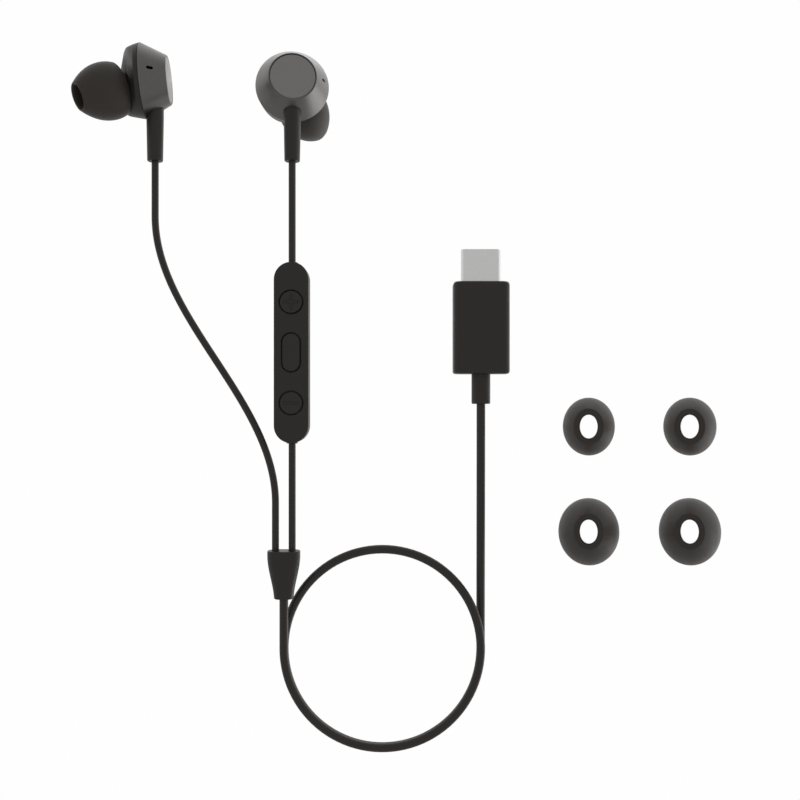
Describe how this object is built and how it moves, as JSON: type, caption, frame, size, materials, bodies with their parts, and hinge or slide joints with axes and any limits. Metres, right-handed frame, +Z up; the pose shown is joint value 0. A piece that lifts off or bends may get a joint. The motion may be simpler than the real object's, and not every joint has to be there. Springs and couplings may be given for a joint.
{
  "type": "wired in-ear earphones",
  "caption": "Wired in-ear earphones with a USB-C plug, coiled cable, splitter, in-line remote with keys, cone-backed earbuds, oval silicone tips and spare tips.",
  "frame": {"origin": "middle of the bounding box at its bottom, which is the bottom of the coil", "axes": "+Z up along the hanging leads; +X to the viewer's right, from the earbuds to the spare tips; -Y is the front, which the remote's keys and the plug's flat face look to"},
  "size_m": [0.1314, 0.0254, 0.1454],
  "materials": {
    "dark_plastic": "fine matt, nearly black",
    "satin_grey_metal": "dark grey satin, brushed round the axis",
    "silicone": "soft matt silicone",
    "cable_jacket": "smooth satin elastomer",
    "steel": "satin nickel-plated steel",
    "gold_contact": "gold-plated spring contacts",
    "circuit_board": "solder mask",
    "chip": "moulded chip package",
    "magnet": "nickel-plated magnet",
    "copper_wire": "wound copper wire",
    "speaker_film": "thin polymer film",
    "woven_steel": "fine woven screen"
  },
  "bodies": {
    "plug": {"plug_overmold": "dark_plastic", "usb_c_shell": "steel", "plug_contact_housing": "dark_plastic", "plug_front_contacts": "gold_contact", "plug_back_contacts": "gold_contact", "plug_circuit_board": "circuit_board", "plug_audio_chip": "chip", "plug_strain_relief": "dark_plastic", "main_cable_end": "cable_jacket"},
    "main_cable": {"main_cable": "cable_jacket"},
    "splitter": {"cable_splitter": "dark_plastic"},
    "left_lead": {"left_lead": "cable_jacket"},
    "right_lead_lower": {"right_lead_lower": "cable_jacket"},
    "remote": {"play_pause_switch": "steel", "remote_back_cover": "dark_plastic", "remote_circuit_board": "circuit_board", "remote_front_cover": "dark_plastic", "remote_microphone": "steel", "volume_down_switch": "steel", "volume_up_switch": "steel"},
    "right_lead_upper": {"right_lead_upper": "cable_jacket"},
    "left_bud": {"left_bud_cone_cover": "satin_grey_metal", "left_bud_diaphragm": "speaker_film", "left_bud_driver_frame": "dark_plastic", "left_bud_end_plate": "satin_grey_metal", "left_bud_front_shell": "dark_plastic", "left_bud_lead_end": "cable_jacket", "left_bud_magnet": "magnet", "left_bud_nozzle_mesh": "woven_steel", "left_bud_strain_relief": "dark_plastic", "left_bud_voice_coil": "copper_wire", "left_bud_yoke": "steel"},
    "left_ear_tip": {"left_ear_tip": "silicone"},
    "right_bud": {"right_bud_cone_cover": "satin_grey_metal", "right_bud_diaphragm": "speaker_film", "right_bud_driver_frame": "dark_plastic", "right_bud_end_plate": "satin_grey_metal", "right_bud_front_shell": "dark_plastic", "right_bud_lead_end": "cable_jacket", "right_bud_magnet": "magnet", "right_bud_nozzle_mesh": "woven_steel", "right_bud_strain_relief": "dark_plastic", "right_bud_voice_coil": "copper_wire", "right_bud_yoke": "steel"},
    "right_ear_tip": {"right_ear_tip": "silicone"},
    "volume_up_button": {"volume_up_button": "dark_plastic"},
    "play_pause_button": {"play_pause_button": "dark_plastic"},
    "volume_down_button": {"volume_down_button": "dark_plastic"},
    "small_spare_tip_left": {"small_spare_tip_left": "silicone"},
    "small_spare_tip_right": {"small_spare_tip_right": "silicone"},
    "large_spare_tip_left": {"large_spare_tip_left": "silicone"},
    "large_spare_tip_right": {"large_spare_tip_right": "silicone"}
  },
  "joints": [
    {"name": "plug_flex", "type": "hinge", "parent": "plug", "child": "main_cable", "pos_m": [0.0157, -0.00376, 0.07106], "axis": [0, 1, 0], "range_deg": [-20, 8], "stiffness_Nm_per_rad": 0.1},
    {"name": "splitter_flex", "type": "hinge", "parent": "main_cable", "child": "splitter", "pos_m": [-0.0245, -0.00376, 0.03136], "axis": [0, -1, 0], "range_deg": [-10, 10], "stiffness_Nm_per_rad": 0.1},
    {"name": "left_lead_flex", "type": "hinge", "parent": "splitter", "child": "left_lead", "pos_m": [-0.0262, -0.00376, 0.04314], "axis": [0, -1, 0], "range_deg": [-2, 25], "stiffness_Nm_per_rad": 0.1},
    {"name": "left_bud_flex", "type": "hinge", "parent": "left_lead", "child": "left_bud", "pos_m": [-0.05075, -0.00376, 0.12069], "axis": [0, 1, 0], "range_deg": [-20, 20], "stiffness_Nm_per_rad": 0.1},
    {"name": "left_tip_pull", "type": "slide", "parent": "left_bud", "child": "left_ear_tip", "axis": [-0.7184, -0.5982, -0.3551], "range_m": [0, 0.009], "stiffness_N_per_m": 20},
    {"name": "right_lead_flex", "type": "hinge", "parent": "splitter", "child": "right_lead_lower", "pos_m": [-0.0228, -0.00376, 0.04314], "axis": [0, 1, 0], "range_deg": [-2, 12], "stiffness_Nm_per_rad": 0.1},
    {"name": "remote_flex", "type": "hinge", "parent": "right_lead_lower", "child": "remote", "pos_m": [-0.0228, -0.00376, 0.06324], "axis": [0, -1, 0], "range_deg": [-10, 10], "stiffness_Nm_per_rad": 0.1},
    {"name": "right_upper_flex", "type": "hinge", "parent": "remote", "child": "right_lead_upper", "pos_m": [-0.0228, -0.00376, 0.10184], "axis": [0, 1, 0], "range_deg": [-10, 10], "stiffness_Nm_per_rad": 0.1},
    {"name": "right_bud_flex", "type": "hinge", "parent": "right_lead_upper", "child": "right_bud", "pos_m": [-0.0228, -0.00376, 0.12069], "axis": [0, -1, 0], "range_deg": [-20, 20], "stiffness_Nm_per_rad": 0.1},
    {"name": "right_tip_pull", "type": "slide", "parent": "right_bud", "child": "right_ear_tip", "axis": [0.4358, 0.8141, -0.3838], "range_m": [0, 0.009], "stiffness_N_per_m": 20},
    {"name": "volume_up_press", "type": "slide", "parent": "remote", "child": "volume_up_button", "axis": [0, 1, 0], "range_m": [0, 0.00035], "stiffness_N_per_m": 400},
    {"name": "play_pause_press", "type": "slide", "parent": "remote", "child": "play_pause_button", "axis": [0, 1, 0], "range_m": [0, 0.00035], "stiffness_N_per_m": 400},
    {"name": "volume_down_press", "type": "slide", "parent": "remote", "child": "volume_down_button", "axis": [0, 1, 0], "range_m": [0, 0.00035], "stiffness_N_per_m": 400},
    {"name": "small_spare_tip_left_lift", "type": "slide", "parent": "plug", "child": "small_spare_tip_left", "axis": [0, -1, 0], "range_m": [0, 0.02]},
    {"name": "small_spare_tip_right_lift", "type": "slide", "parent": "plug", "child": "small_spare_tip_right", "axis": [0, -1, 0], "range_m": [0, 0.02]},
    {"name": "large_spare_tip_left_lift", "type": "slide", "parent": "plug", "child": "large_spare_tip_left", "axis": [0, -1, 0], "range_m": [0, 0.02]},
    {"name": "large_spare_tip_right_lift", "type": "slide", "parent": "plug", "child": "large_spare_tip_right", "axis": [0, -1, 0], "range_m": [0, 0.02]}
  ]
}
